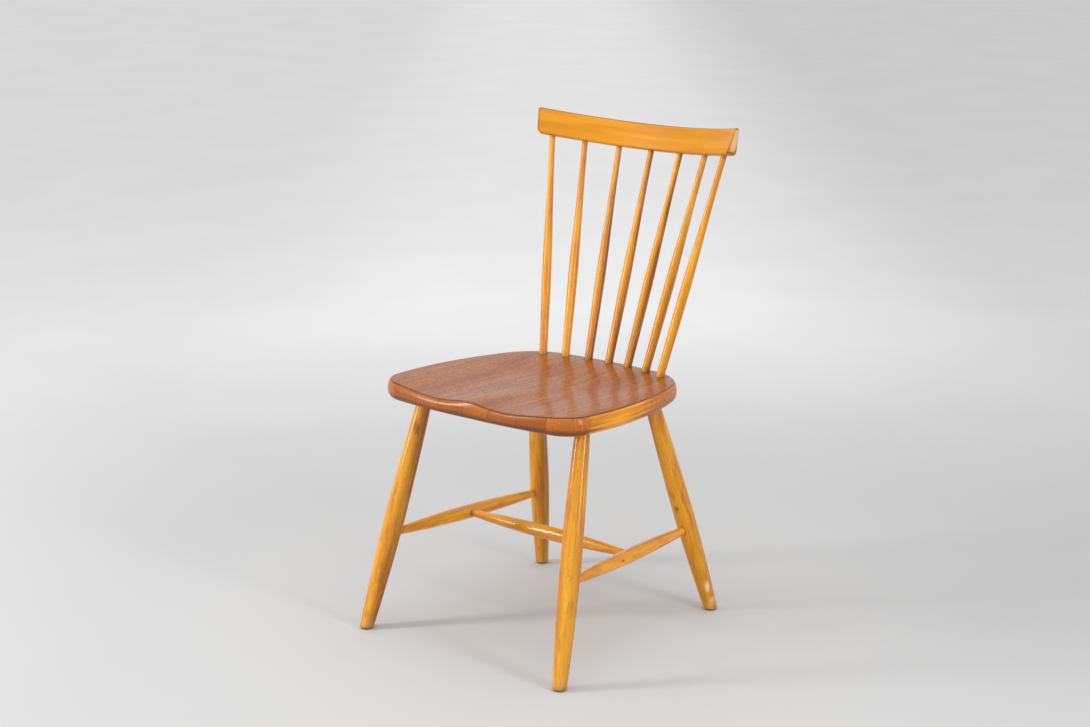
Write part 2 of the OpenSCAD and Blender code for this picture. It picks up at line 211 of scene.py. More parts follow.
def add(tree, kind, inputs=None, **settings):
    """Adds one node. An input given as a socket is linked, and any other value is set."""
    node = tree.nodes.new("ShaderNode" + kind)
    for name, value in settings.items():
        setattr(node, name, value)
    for key, value in (inputs or {}).items():
        if isinstance(value, bpy.types.NodeSocket):
            tree.links.new(value, node.inputs[key])
        else:
            node.inputs[key].default_value = value
    return node


# %% Noise, ranges and colour mixing
def attribute(tree, name, part="Fac"):
    """A value that the mesh carries: part is Fac for a number and Vector for a place."""
    return add(tree, "Attribute", attribute_name=name).outputs[part]


def noise(tree, place, across, along, detail=2.0, rough=0.5, twist=0.0):
    """Noise with grains `across` wide and `along` long, in metres, in the wood's coordinates."""
    scale = (1 / across, 1 / across, 1 / along)
    stretched = add(tree, "Mapping", {"Vector": place, "Scale": scale}).outputs[0]
    inputs = {"Vector": stretched, "Scale": 1.0, "Detail": detail, "Roughness": rough, "Distortion": twist}
    return add(tree, "TexNoise", inputs).outputs["Fac"]


def span(tree, value, low, high, to_low=0.0, to_high=1.0):
    """Carries value from the range low..high to to_low..to_high, eased at both ends."""
    inputs = {"Value": value, 1: low, 2: high, 3: to_low, 4: to_high}
    return add(tree, "MapRange", inputs, interpolation_type="SMOOTHSTEP").outputs[0]


def lay(tree, share, under, over, how="MIX"):
    """A colour: over laid on under by share."""
    inputs = {0: share, 6: under, 7: over}
    return add(tree, "Mix", inputs, data_type="RGBA", blend_type=how).outputs[2]


def times(tree, a, b):
    """The product of two numbers."""
    return add(tree, "Math", {0: a, 1: b}, operation="MULTIPLY").outputs[0]


def plus(tree, a, b):
    """The sum of two numbers."""
    return add(tree, "Math", {0: a, 1: b}, operation="ADD").outputs[0]


def relief(tree, shader, height, depth, strength=1.0):
    """Feeds a height between 0 and 1 to the shader as bumps of that depth in metres."""
    inputs = {"Height": height, "Distance": depth, "Strength": strength}
    bump = add(tree, "Bump", inputs)
    tree.links.new(bump.outputs[0], shader.inputs["Normal"])


def rgb(r, g, b):
    """A linear colour with its alpha."""
    return (r, g, b, 1.0)


# %% [markdown]
# ## Lacquered beech
# The sticks and the rail are pale beech under an old clear lacquer that has turned amber.
# Up close, beech has three scales of figure: broad bands of warmer and paler wood, faint
# yearly rings, and thousands of tiny dark dashes, the rays, a millimetre or two long.
# The lacquer is a coat with its own gloss over them. Dirt and darkened glue gather where
# pieces join, and painted shade fades out from the sockets of spindles and stretchers. End
# grain drinks more finish and turns browner.
# A flat colour with gloss would look like plastic, and an image would stretch on the turned
# shapes, so the figure is solid noise in the wood's own coordinates.
# The rail has been rubbed by hands for years: its lacquer is thinner and blurred, and its
# figure looks calmer, so it gets a second material from the same recipe.

# %% Beech
def beech_figure(tree, place):
    """Broad bands, fine streaks, yearly rings and short rays, each a number between 0 and 1."""
    bands = noise(tree, place, 0.020, 0.22, 3.0, 0.6, 0.6)
    streaks = noise(tree, place, 0.0032, 0.12, 4.0, 0.65, 0.3)
    rings_in = add(tree, "Mapping", {"Vector": place, "Scale": (1.0, 1.0, 0.05)}).outputs[0]
    ring_inputs = {"Vector": rings_in, "Scale": 105.0, "Distortion": 2.2}
    ring_inputs |= {"Detail": 2.0, "Detail Scale": 0.35}
    rings = add(tree, "TexWave", ring_inputs, wave_type="RINGS", rings_direction="Z").outputs["Fac"]
    rays = span(tree, noise(tree, place, 0.00042, 0.0034, 1.0, 0.4), 0.60, 0.70)
    return bands, streaks, rings, rays


def make_beech(name, coat, blur, mottling, amber_wash):
    """Lacquered beech. Coat is the lacquer's strength and blur its roughness.

    Mottling is the share of pale patches and stains, and amber_wash of a deeper amber."""
    material, tree, shader = start_material(name, Coat_Weight=coat, Coat_IOR=1.5)
    shader.inputs["Coat Roughness"].default_value = blur
    shader.inputs["Specular IOR Level"].default_value = 0.1
    place = attribute(tree, "grain", "Vector")
    bands, streaks, rings, rays = beech_figure(tree, place)
    gold = rgb(0.82, 0.375, 0.012)
    amber = rgb(0.62, 0.215, 0.004)
    colour = lay(tree, span(tree, bands, 0.36, 0.66), gold, amber)
    pale = span(tree, noise(tree, place, 0.008, 0.06, 3.0, 0.6), 0.55, 0.75, 0.0, 0.40)
    colour = lay(tree, times(tree, pale, mottling), colour, rgb(0.93, 0.52, 0.05))
    stain = span(tree, noise(tree, place, 0.012, 0.05, 3.0, 0.65), 0.52, 0.74, 0.0, 0.6)
    colour = lay(tree, times(tree, stain, mottling), colour, rgb(0.40, 0.130, 0.012))
    colour = lay(tree, span(tree, streaks, 0.45, 0.75, 0.0, 0.40), colour, rgb(0.48, 0.160, 0.010))
    colour = lay(tree, span(tree, rings, 0.72, 1.0, 0.0, 0.22), colour, rgb(0.46, 0.155, 0.012))
    colour = lay(tree, times(tree, rays, 0.34), colour, rgb(0.30, 0.095, 0.010))
    specks = span(tree, noise(tree, place, 0.0016, 0.0030, 1.0, 0.3), 0.71, 0.76, 0.0, 0.6)
    colour = lay(tree, specks, colour, rgb(0.16, 0.045, 0.010))
    colour = lay(tree, attribute(tree, "endgrain"), colour, rgb(0.30, 0.110, 0.022))
    colour = lay(tree, amber_wash, colour, rgb(0.56, 0.205, 0.001))
    # Painted shade: a browner stripe down the same side of every stick, stronger on some sticks than on
    # others.
    heartwood = times(tree, attribute(tree, "heart"), span(tree, bands, 0.3, 0.62, 0.55, 1.0))
    colour = lay(tree, heartwood, colour, rgb(0.20, 0.048, 0.004))
    # Dark joints, knots and stains, with painted shade fading out from the sockets of spindles and
    # stretchers.
    colour = lay(tree, attribute(tree, "seam"), colour, rgb(0.070, 0.018, 0.007))
    colour = lay(tree, attribute(tree, "wear"), colour, rgb(0.80, 0.62, 0.36))
    tree.links.new(colour, shader.inputs["Base Color"])
    smear = noise(tree, place, 0.012, 0.05, 2.0)
    gloss = plus(tree, span(tree, smear, 0.3, 0.75, 0.27, 0.40), times(tree, attribute(tree, "wear"), 0.3))
    tree.links.new(gloss, shader.inputs["Roughness"])
    height = plus(tree, times(tree, rays, -0.5), times(tree, streaks, 0.9))
    relief(tree, shader, height, 0.05 * MM, 0.5)
    return material


beech = make_beech("lacquered_beech", coat=0.75, blur=0.09, mottling=1.0, amber_wash=0.0)
rubbed_beech = make_beech("rubbed_beech", coat=0.32, blur=0.34, mottling=0.3, amber_wash=0.5)
print("beech:", len(beech.node_tree.nodes), "nodes")

# %% [markdown]
# ## Measures
# These are the measures of the CAD source, in metres, for the shapes that are worked out
# again here. Y is counted from the foot of the middle spindle, and row_y moves it into the
# frame. The seat slopes back a little, so it has its own frame: its origin is at the middle
# spindle's foot, and z = 0 is the top of its rim.

# %% Seat frame and places of the joints
seat_h = 428 * MM
seat_t = 34 * MM
slope = deg(1.8)
foot_r = 11.4 * MM
lean = deg(17.5)
rail_h = 46.5 * MM
rail_top_r = 3.2 * MM
rail_y = 117.3 * MM
row_y = (402 * MM + foot_r - rail_y - (rail_h - rail_top_r) * np.sin(lean) - rail_top_r) / 2
seat_axes = np.array([[1, 0, 0], [0, np.cos(slope), -np.sin(slope)], [0, np.sin(slope), np.cos(slope)]])
seat_origin = np.array([0, row_y, seat_h])


def from_seat(p):
    """Seat coordinates to the frame: a turn about X and a shift."""
    return seat_origin + np.asarray(p) @ seat_axes


def to_seat(p):
    """The frame to seat coordinates: the same, undone."""
    return (np.asarray(p) - seat_origin) @ seat_axes.T


print("row of spindles at y =", round(row_y, 4))

# %% [markdown]
# ## Turned sticks
# Legs, stretchers and spindles come off a lathe: circles whose radius changes along the axis.
# The lathe's Spin tool or a Screw modifier would do for square ends. The legs, though, end on
# two slanted planes, the floor and the underside of the seat, so each ring's height along the
# axis may vary around it. Ring after ring, the tilt fades from the one plane to the other.

# %% A turned surface
AROUND = 64


def cross_axes(p, q):
    """The direction from p to q and two directions square to it and to each other."""
    axis = unit(q - p)
    helper = np.array([0, 1.0, 0]) if abs(axis[2]) > 0.8 else np.array([0, 0, 1.0])
    side = unit(np.cross(helper, axis))
    return axis, side, np.cross(axis, side)


def spokes(p, q):
    """The directions from the axis to each of the points around a ring."""
    turn = np.arange(AROUND) * 2 * np.pi / AROUND
    axis, side, other = cross_axes(p, q)
    return np.cos(turn)[:, None] * side + np.sin(turn)[:, None] * other


def turned_rings(p, q, stations, radii):
    """Rings about the line p-q: p + axis * station + spoke * radius, for every ring and spoke."""
    axis = cross_axes(p, q)[0]
    spread = lambda v: np.broadcast_to(v if v.ndim > 1 else v[:, None], (len(v), AROUND))
    return p + spread(stations)[..., None] * axis + spread(radii)[..., None] * spokes(p, q)


# %% Grain of a stick
wood = np.random.default_rng(7)


def stick_grain(mesh, p, q):
    """Places along and across the stick, moved to a spot of its own in the log."""
    axis, side, other = cross_axes(p, q)
    rel = points_of(mesh) - p
    pith = wood.uniform(0.02, 0.09, 2) * wood.choice([-1, 1], 2)
    local = np.stack([rel @ side + pith[0], rel @ other + pith[1], rel @ axis + wood.uniform(0, 3)], 1)
    return local, rel @ axis


def taper(t, r0, r_belly, r1, belly_at, power):
    """Radius of a double taper: the belly's, less a power of the distance from it."""
    low = mix(r_belly, r0, np.clip((belly_at - t) / belly_at, 0, None) ** power)
    high = mix(r_belly, r1, np.clip((t - belly_at) / (1 - belly_at), 0, None) ** power)
    return np.where(t < belly_at, low, high)


# %% [markdown]
# ## Legs
# Each leg is thickest a little below its middle and thinner at both ends. It stands on a
# slanted cut so that it sits flat on its glide, and its tenon enters the seat. The lathe
# leaves a very slight break on the edge of the foot.

# %% Leg shape
leg_ends = {
    "front_left": ([0.214, -0.402, 0], [0.1713, -0.2923, 0.388]),
    "front_right": ([-0.214, -0.402, 0], [-0.1713, -0.2923, 0.388]),
    "rear_left": ([0.193, 0.0504, 0], [0.1277, -0.0456, 0.388]),
    "rear_right": ([-0.193, 0.0504, 0], [-0.1277, -0.0456, 0.388]),
}
leg_belly_r = 17.6 * MM
leg_top_r = 12.2 * MM
leg_tenon_r = 10 * MM
leg_socket = 20 * MM
foot_z = 3.6 * MM
overrun = 12 * MM
sole_edge = 0.7 * MM
leg_belly_at, leg_curve = 0.46, 1.7


def leg_axis(corner):
    """A leg's line in the frame: its foot, and its shoulder on the seat's underside."""
    foot, head = (np.array(v) + [0, row_y, 0] for v in leg_ends[corner])
    under = from_seat([0, 0, -seat_t])
    normal = seat_axes[2]
    reach = ((under - foot) @ normal) / ((head - foot) @ normal)
    return foot, foot + (head - foot) * reach


def meet_plane(p, q, radius, point, normal):
    """How far along the axis each spoke's line of the given radius meets a plane."""
    axis = cross_axes(p, q)[0]
    tips = spokes(p, q) @ normal
    reach = np.full(AROUND, (point - p) @ normal / (axis @ normal))
    for _ in range(4):
        reach = ((point - p) @ normal - radius(reach) * tips) / (axis @ normal)
    return reach


# %% Make a leg
def leg_rings(corner):
    """Rings from the sole up: broken edge, double taper, shoulder and tenon."""
    foot, shoulder = leg_axis(corner)
    length = np.linalg.norm(shoulder - foot)
    share = lambda along: (along + overrun / 2) / (length + overrun)
    body = lambda along: taper(share(along), foot_r, leg_belly_r, leg_top_r, leg_belly_at, leg_curve)
    ground, up = np.array([0, 0, foot_z]), np.array([0, 0, 1.0])
    under, normal = from_seat([0, 0, -seat_t]), seat_axes[2]
    sole = lambda inset: meet_plane(foot, shoulder, lambda along: body(along) - inset, ground, up)
    low, high = sole(0), meet_plane(foot, shoulder, body, under, normal)
    stations, radii = [], []
    for turn in np.linspace(0, np.pi / 2, 5):
        inset = sole_edge * (1 - np.sin(turn))
        stations.append(sole(inset) + sole_edge * (1 - np.cos(turn)))
        radii.append(body(stations[-1]) - inset)
    for t in np.linspace(0, 1, 64)[1:]:
        stations.append(mix(low + sole_edge, high, t))
        radii.append(body(stations[-1]))
    level = np.ones(AROUND)
    tenon = meet_plane(foot, shoulder, lambda along: leg_tenon_r + 0 * along, under, normal)
    stations += [tenon, level * (length + leg_socket - sole_edge), level * (length + leg_socket)]
    radii += [level * leg_tenon_r, level * leg_tenon_r, level * (leg_tenon_r - sole_edge)]
    return turned_rings(foot, shoulder, np.array(stations), np.array(radii))


# %% [markdown]
# ## Wear on the legs, and painted shade on the sticks
# An old chair has a few marks of its own: a knot, a ring where something rubbed, a stain and
# lacquer scraped off near the floor. Painting them by hand would need an image. Here each is
# a blot round a place in space, stored on the points and laid over the figure. Each stick also
# has its share of a browner stripe down one side, the same side on every stick: painted shade.

# %% Wear marks, and painted shade on the legs
ripples = [
    (2.1, np.array([0.8, 0.3, 0.5])),
    (3.7, np.array([-0.4, 0.9, 0.2])),
    (6.3, np.array([0.5, -0.2, -0.8])),
]


def blot(points, centre, size):
    """A blot round a point: 1 in its middle, 0 outside, its edge broken up by a sum of waves."""
    rel = (points - np.array(centre) * MM) / (np.array(size) * MM)
    wobble = sum(np.sin(rel @ way * f) / f for f, way in ripples)
    return ease(1.0, 0.5, np.linalg.norm(rel, axis=1) + 0.4 * wobble)


# Each mark has its centre and its half sizes in millimetres, and its strength.
dark_marks = {
    "rear_left": [((163, 124, 196), (6, 6, 8), 0.65), ((170, 140, 120), (6, 6, 12), 0.25)],
    "front_right": [((-168, -175, 352), (7, 7, 16), 0.5)],
    "front_left": [((187, -222, 194), (30, 30, 1.6), 0.5), ((196, -238, 60), (9, 9, 30), 0.22)],
    "rear_right": [((-180, 120, 90), (12, 12, 30), 0.3)],
}
pale_marks = {"rear_left": [((198, 173, 49), (6, 6, 9), 0.95), ((205, 182, 22), (7, 7, 9), 0.5)]}
stretcher_dot = ((196.2, -71.1, 162.9), (2.6, 2.6, 2.6))
# Painted shade: each leg's share of a browner stripe, and the way that stripe faces on every leg.
leg_heart = {"front_right": 0.75, "front_left": 0.3, "rear_left": 0.25, "rear_right": 0.6}
leg_heart_way = np.array([0.92, 0.38, 0.0])


# %% Legs in the scene
def make_leg(corner):
    """One leg, with dirt at its shoulder, wear marks, and a stripe of painted shade down one side."""
    foot, shoulder = leg_axis(corner)
    mesh = tube_mesh("turned_leg_" + corner, leg_rings(corner))
    grain, along = stick_grain(mesh, foot, shoulder)
    length = np.linalg.norm(shoulder - foot)
    seam = 0.9 * ease(2.2 * MM, 0.4 * MM, np.abs(length - along - 0.5 * MM))
    sole = ease(4.2 * MM, 3.0 * MM, along)
    ends = np.abs(normals_of(mesh) @ unit(shoulder - foot)) ** 2
    patches = 0.5 + 0.5 * np.sin(grain[:, 0] * 900) * np.sin(along * 800)
    rub = 0.18 * ease(30 * MM, 8 * MM, along) * patches
    co = points_of(mesh)
    for centre, size, depth in dark_marks[corner]:
        seam = np.maximum(seam, depth * blot(co, centre, size))
    for centre, size, depth in pale_marks.get(corner, []):
        rub = np.maximum(rub, depth * blot(co, centre, size))
    # Painted shade down the side that faces the fixed direction.
    stripe = leg_heart[corner] * ease(-0.1, 0.95, normals_of(mesh) @ leg_heart_way)
    seam = np.clip(seam + 0.4 * sole, 0, 1)
    mark(mesh, grain=grain, seam=seam, endgrain=ease(0.4, 0.9, ends), wear=rub, heart=stripe)
    add_piece(mesh, "frame_wood", beech, "leg_" + corner)


for corner in leg_ends:
    make_leg(corner)

# %% [markdown]
# ## Stretchers
# Two side stretchers join front and rear legs, and a third joins the two of them across.
# They are cigars: fattest in the middle, with a straight neck inside each joint.

# %% Stretcher places
side_neck_r = 6.8 * MM
side_belly_r = 12.4 * MM
cross_neck_r = 6 * MM
cross_belly_r = 12 * MM
tenon_stop = 4 * MM
cross_stop = 3 * MM
front_joint_z, rear_joint_z = 164 * MM, 154 * MM
# The way the painted shade faces on every stretcher and spindle.
stick_heart_way = np.array([0.86, 0.50, 0.0])


def at_height(p, q, z):
    """The point of the line p-q at height z."""
    return p + (q - p) * (z - p[2]) / (q[2] - p[2])


def leg_point(corner, z):
    """The leg's axis at height z."""
    return at_height(*leg_axis(corner), z)


joints = {
    side: (leg_point("front_" + side, front_joint_z), leg_point("rear_" + side, rear_joint_z))
    for side in ("left", "right")
}
for side, (front, rear) in joints.items():
    print(side, "stretcher:", round(float(np.linalg.norm(rear - front)), 4), "m between leg middles")

# %% Make the stretchers
def cigar_mesh(name, a, b, neck, r_end, r_belly):
    """A turned cigar between a and b: straight for a neck at each end, tapered between."""
    length = np.linalg.norm(b - a)
    edge = 0.5 * MM
    inner = np.linspace(0, 1, 60)
    stations = np.concatenate([[0, edge], neck + (length - 2 * neck) * inner, [length - edge, length]])
    t = np.clip((stations - neck) / (length - 2 * neck), 0, 1)
    radii = taper(t, r_end, r_belly, r_end, 0.5, 1.8)
    radii[[0, -1]] -= edge
    return tube_mesh(name, turned_rings(a, b, stations, radii))


def finish_stick(mesh, a, b, bury, node, dark=0.85, heart=0.0):
    """Grain, darkened joints and painted shade for a stick whose last `bury` metres lie inside other wood.

    Glue darkens the stick where it leaves a socket, and painted shade fades out over the next few
    millimetres.
    The last argument is the share of painted shade, in a deep brown, down the side that faces the fixed
    shade direction."""
    grain, along = stick_grain(mesh, a, b)
    length = np.linalg.norm(b - a)
    edge_gap = np.minimum(along - bury[0], length - bury[1] - along)
    # Dark glue within a few millimetres of the socket, and painted shade fading out by 8 mm.
    seam = np.maximum(ease(3.4 * MM, 1.2 * MM, edge_gap), 0.5 * ease(8 * MM, 1 * MM, edge_gap))
    # Painted shade down the side that faces the fixed direction.
    stripe = heart * ease(-0.25, 0.85, normals_of(mesh) @ stick_heart_way)
    ends = np.abs(normals_of(mesh) @ unit(b - a)) ** 2
    seam = np.maximum(dark * seam, 0.95 * blot(points_of(mesh), *stretcher_dot))
    mark(mesh, grain=grain, seam=seam, endgrain=ease(0.5, 0.95, ends), wear=along * 0, heart=stripe)
    add_piece(mesh, "frame_wood", beech, node)


# %% Side stretchers and the cross stretcher
for side, (front, rear) in joints.items():
    way = unit(rear - front)
    a, b = front + way * tenon_stop, rear - way * tenon_stop
    neck = leg_belly_r - tenon_stop + 2 * MM
    mesh = cigar_mesh("turned_side_stretcher_" + side, a, b, neck, side_neck_r, side_belly_r)
    finish_stick(mesh, a, b, (neck - 2.5 * MM, neck - 2.5 * MM), "side_stretcher_" + side)

middle = {side: (front + rear) / 2 for side, (front, rear) in joints.items()}
way = unit(middle["right"] - middle["left"])
a, b = middle["left"] + way * cross_stop, middle["right"] - way * cross_stop
neck = side_belly_r - cross_stop + 3 * MM
mesh = cigar_mesh("turned_cross_stretcher", a, b, neck, cross_neck_r, cross_belly_r)
finish_stick(mesh, a, b, (neck - 3 * MM, neck - 3 * MM), "cross_stretcher")

# %% [markdown]
# ## Spindles
# A spindle is a long club: thickest a third of the way up, slender at the rail. Its foot
# stands in the seat and its tip in the rail, each in a socket 20 mm deep. Old glue and polish
# leave a dark ring at both, and painted shade fades out from each ring along the spindle.

# %% Spindle places
foot_x = np.array([-129, -88.3, -43.1, 0, 43.1, 88.3, 129]) * MM
tip_x = np.array([-186, -130.4, -66.1, 0, 66.1, 130.4, 186]) * MM
foot_bend = 358 * MM
rail_bend = 385 * MM
rail_z = 788.5 * MM
socket = 20 * MM
rail_axes = np.array([[1, 0, 0], [0, np.cos(lean), -np.sin(lean)], [0, np.sin(lean), np.cos(lean)]])
rail_origin = np.array([0, rail_y + row_y, rail_z])
spindle_r = (7.2 * MM, 8.4 * MM, 5.1 * MM)
spindle_belly_at = 0.36
tip_edge = 0.5 * MM


def on_rail(x, out, z):
    """Rail coordinates to the frame: x across, `out` behind the bend's middle, z up its height."""
    radius = rail_bend + out
    local = np.stack([x, np.sqrt(radius**2 - x**2) - rail_bend, z + x * 0], -1)
    return rail_origin + local @ rail_axes


feet = from_seat(np.stack([foot_x, np.sqrt(foot_bend**2 - foot_x**2) - foot_bend, foot_x * 0], -1))
tips = on_rail(tip_x, 0, 0)

# %% Make the spindles
def spindle_radius(t):
    """Foot to belly to tip: a smooth step up to the belly, then a slow one down."""
    foot, belly, tip = spindle_r
    rise = mix(foot, belly, ease(0, spindle_belly_at, t))
    fall = mix(tip, belly, ease(0, 1, np.clip((1 - t) / (1 - spindle_belly_at), 0, 1) ** 1.3))
    return np.where(t < spindle_belly_at, rise, fall)


# Each spindle's share of painted shade down one side.
spindle_heart = (0.2, 0.35, 0.95, 0.9, 0.9, 0.45, 0.3)
for number, (foot, tip) in enumerate(zip(feet, tips), 1):
    way = unit(tip - foot)
    a, b = foot - way * socket, tip + way * socket
    length = np.linalg.norm(b - a)
    neck0, neck1 = socket + 5 * MM, socket + 3 * MM
    shaft = mix(neck0, length - neck1, np.linspace(0, 1, 90))
    stations = np.concatenate([[0, tip_edge], shaft, [length - tip_edge, length]])
    radii = spindle_radius(np.clip((stations - neck0) / (length - neck0 - neck1), 0, 1))
    radii[[0, -1]] -= tip_edge
    mesh = tube_mesh(f"turned_spindle_{number}", turned_rings(a, b, stations, radii))
    finish_stick(mesh, a, b, (socket, socket), f"spindle_{number}", 0.85, spindle_heart[number - 1])

# %% [markdown]
# ## Crest rail
# The rail is a board, thick at its lower edge and thin at the top, steamed and bent so that
# its hollow side faces the sitter. Its ends flare outwards as they rise and their corners are
# rounded. A Curve with a bevel object would give the bend but not the slanted, rounded ends,
# so the board is one grid: along its length, and around its wedge-shaped section. Each line
# along the grid has a length of its own, which draws the shape of the ends.

# %% The rail's section
rail_t = 17 * MM
rail_low_r = 5 * MM
rail_half_w = 209.5 * MM
rail_flare = deg(8.5)
rail_corners = (9 * MM, 5 * MM)
rail_edge = 1.3 * MM


def half_section():
    """Half thickness and height from the middle of the bottom, up the face, to the top."""
    flat = rail_t / 2 - rail_low_r
    face = np.arcsin((rail_t / 2 - rail_top_r) / (rail_h - rail_low_r - rail_top_r))
    low = mix(-np.pi / 2, face, np.linspace(0, 1, 14))
    high = mix(face, np.pi / 2, np.linspace(0, 1, 13))
    low_arc = np.stack([flat + rail_low_r * np.cos(low), rail_low_r * (1 + np.sin(low))], 1)
    high_arc = np.stack([rail_top_r * np.cos(high), rail_h - rail_top_r + rail_top_r * np.sin(high)], 1)
    straight = mix(low_arc[-1], high_arc[0], np.linspace(0, 1, 16)[1:-1, None])
    bottom = np.stack([flat * np.linspace(0, 1, 4)[:-1], np.zeros(3)], 1)
    return np.vstack([bottom, low_arc, straight, high_arc])


def end_reach(z):
    """How far past the end line the rail reaches at height z: flare less the round corners."""
    low_r, top_r = rail_corners
    up = z / np.cos(rail_flare)
    down = rail_h / np.cos(rail_flare) - up
    low = low_r - np.sqrt(np.clip(low_r**2 - np.clip(low_r - up, 0, low_r) ** 2, 0, None))
    top = top_r - np.sqrt(np.clip(top_r**2 - np.clip(top_r - down, 0, top_r) ** 2, 0, None))
    return z * np.tan(rail_flare) - (low + top) / np.cos(rail_flare)


# %% Bend the board
def rail_rings():
    """Section loops along the bend. The last few draw in, which rounds the ends' edges."""
    half = half_section()
    loop = np.vstack([half[::-1] * [-1, 1], half[1:-1]])
    slope_of = np.roll(loop, -1, 0) - np.roll(loop, 1, 0)
    outward = np.stack([slope_of[:, 1], -slope_of[:, 0]], 1)
    outward /= np.linalg.norm(outward, axis=1)[:, None]
    outward *= np.sign((outward * (loop - loop.mean(0))).sum(1))[:, None]
    reach = rail_bend * np.arcsin(rail_half_w / rail_bend) + end_reach(loop[:, 1])
    turn = np.linspace(0, np.pi / 2, 6)
    body = np.linspace(-1, 1, 161)
    rounded = lambda end, t: (end, rail_edge * (1 - np.sin(t)), rail_edge * (1 - np.cos(t)))
    near, far = [rounded(-1, t) for t in turn[::-1]], [rounded(1, t) for t in turn]
    rings = []
    for s, back, inset in near + [(s, rail_edge, 0) for s in body[1:-1]] + far:
        section = loop - outward * inset
        angle = s * (reach - back) / rail_bend
        radius = rail_bend + section[:, 0]
        local = np.stack([radius * np.sin(angle), radius * np.cos(angle) - rail_bend, section[:, 1]], 1)
        rings.append(rail_origin + local @ rail_axes)
    return np.array(rings), len(half)


def rail_mesh():
    """The bent board: its skin, and each end closed by a sheet from its front to its back."""
    rings, half = rail_rings()
    n, m = rings.shape[:2]
    points, faces, count = [rings.reshape(-1, 3)], [tube_faces(n, m)], n * m
    for ring in (rings[0], rings[-1]):
        front = ring[:half][::-1]
        back = np.vstack([ring[half - 1], ring[half:], ring[0]])
        sheet = mix(front[:, None], back[:, None], np.linspace(0, 1, 7)[None, :, None])
        points.append(sheet.reshape(-1, 3))
        faces.append(sheet_faces(half, 7) + count)
        count += half * 7
    return closed_mesh("bent_crest_rail", np.vstack(points), faces, 50)


# %% Places on the bent rail
mesh = rail_mesh()
co = points_of(mesh)
local = (co - rail_origin) @ rail_axes.T
bend_angle = np.arctan2(local[:, 0], local[:, 1] + rail_bend)
out = np.hypot(local[:, 0], local[:, 1] + rail_bend) - rail_bend
fibre = np.stack([np.cos(bend_angle), -np.sin(bend_angle), 0 * out], 1) @ rail_axes
on_face = ease(0.75, 0.97, np.abs((normals_of(mesh) * fibre).sum(1)))
top_gap = rail_h - local[:, 2]
end_at = rail_bend * np.arcsin(rail_half_w / rail_bend) + end_reach(np.clip(local[:, 2], 0, rail_h))
end_gap = end_at - rail_bend * np.abs(bend_angle)
face_gap = np.minimum(rail_t / 2 - np.abs(out), np.minimum(local[:, 2], top_gap))
near_tip = np.min([np.linalg.norm(co - t, axis=1) for t in tips], 0)
print("rail:", round(2 * rail_half_w, 4), "m across at its lower edge")

# %% Rail finish: dark round the spindles and along the edges, scuffed on the end faces
ring = 0.7 * ease(7.6 * MM, 5.2 * MM, near_tip)
top_line = 0.62 * ease(2.4 * MM, 0.6 * MM, top_gap)
end_line = 0.45 * ease(2.6 * MM, 0.9 * MM, end_gap) * (1 - on_face)
face_line = 0.6 * on_face * ease(3.2 * MM, 1 * MM, face_gap)
seam = np.clip(ring + top_line + end_line + face_line, 0, 1)
worn_end = on_face * 0.45 * ease(2.5 * MM, 5.5 * MM, face_gap)
grain = np.stack([out + 0.045, local[:, 2] + 0.012, rail_bend * bend_angle + 5], 1)
mark(mesh, grain=grain, seam=seam, endgrain=on_face * 0.7, wear=worn_end, heart=out * 0)
add_piece(mesh, "frame_wood", rubbed_beech, "crest_rail")

# %% [markdown]
# ## Seat outline
# The outline is made of arcs that run into each other: a flat bow for each edge and a circle
# for each corner. Every point is kept as a place and an outward direction. Moving the points
# inwards along those directions gives the outline at any inset, which is all that the rounded
# edge needs.

# %% Arcs of the outline
front_corner, front_corner_r = np.array([157.5, -315]) * MM, 56 * MM
rear_corner, rear_corner_r = np.array([88.5, -95.5]) * MM, 104 * MM
front_bow_r, side_bow_r, rear_bow_r = 1350 * MM, 610 * MM, 850 * MM


def bow_centre(c1, r1, c2, r2, r):
    """Centre of the arc of radius r that holds two circles inside it, touching both."""
    span_between = np.linalg.norm(c2 - c1)
    u = (c2 - c1) / span_between
    a, b = r - r1, r - r2
    along = (a * a - b * b + span_between**2) / (2 * span_between)
    return c1 + u * along + np.sqrt(a * a - along * along) * np.array([-u[1], u[0]])


side_bow = bow_centre(front_corner, front_corner_r, rear_corner, rear_corner_r, side_bow_r)
front_rise = np.sqrt((front_bow_r - front_corner_r) ** 2 - front_corner[0] ** 2)
rear_drop = np.sqrt((rear_bow_r - rear_corner_r) ** 2 - rear_corner[0] ** 2)
front_bow = np.array([0, front_corner[1] + front_rise])
rear_bow = np.array([0, rear_corner[1] - rear_drop])
half_w = side_bow[0] + side_bow_r


def half_outline(counts=(60, 60, 90, 60, 60)):
    """Points and outward directions of the left half, from the front's middle to the rear's."""
    heading = lambda v: np.arctan2(v[1], v[0])
    turns = [-np.pi / 2, heading(front_corner - front_bow), heading(front_corner - side_bow),
             heading(rear_corner - side_bow), heading(rear_corner - rear_bow), np.pi / 2]
    arcs = [(front_bow, front_bow_r), (front_corner, front_corner_r), (side_bow, side_bow_r),
            (rear_corner, rear_corner_r), (rear_bow, rear_bow_r)]
    places, ways = [], []
    for (centre, radius), a0, a1, count in zip(arcs, turns[:-1], turns[1:], counts):
        angle = mix(a0, a1, np.arange(count) / count)
        way = np.stack([np.cos(angle), np.sin(angle)], 1)
        places.append(centre + radius * way)
        ways.append(way)
    places.append([rear_bow + [0, rear_bow_r]])
    ways.append([[0, 1]])
    return np.vstack(places), np.vstack(ways)


def whole_outline():
    """The left half and its mirror image, as one loop."""
    place, way = half_outline()
    flip = np.array([-1, 1])
    return np.vstack([place, place[-2:0:-1] * flip]), np.vstack([way, way[-2:0:-1] * flip])


rim, rim_way = whole_outline()
print("seat outline:", len(rim), "points,", round(2 * half_w, 4), "m wide")

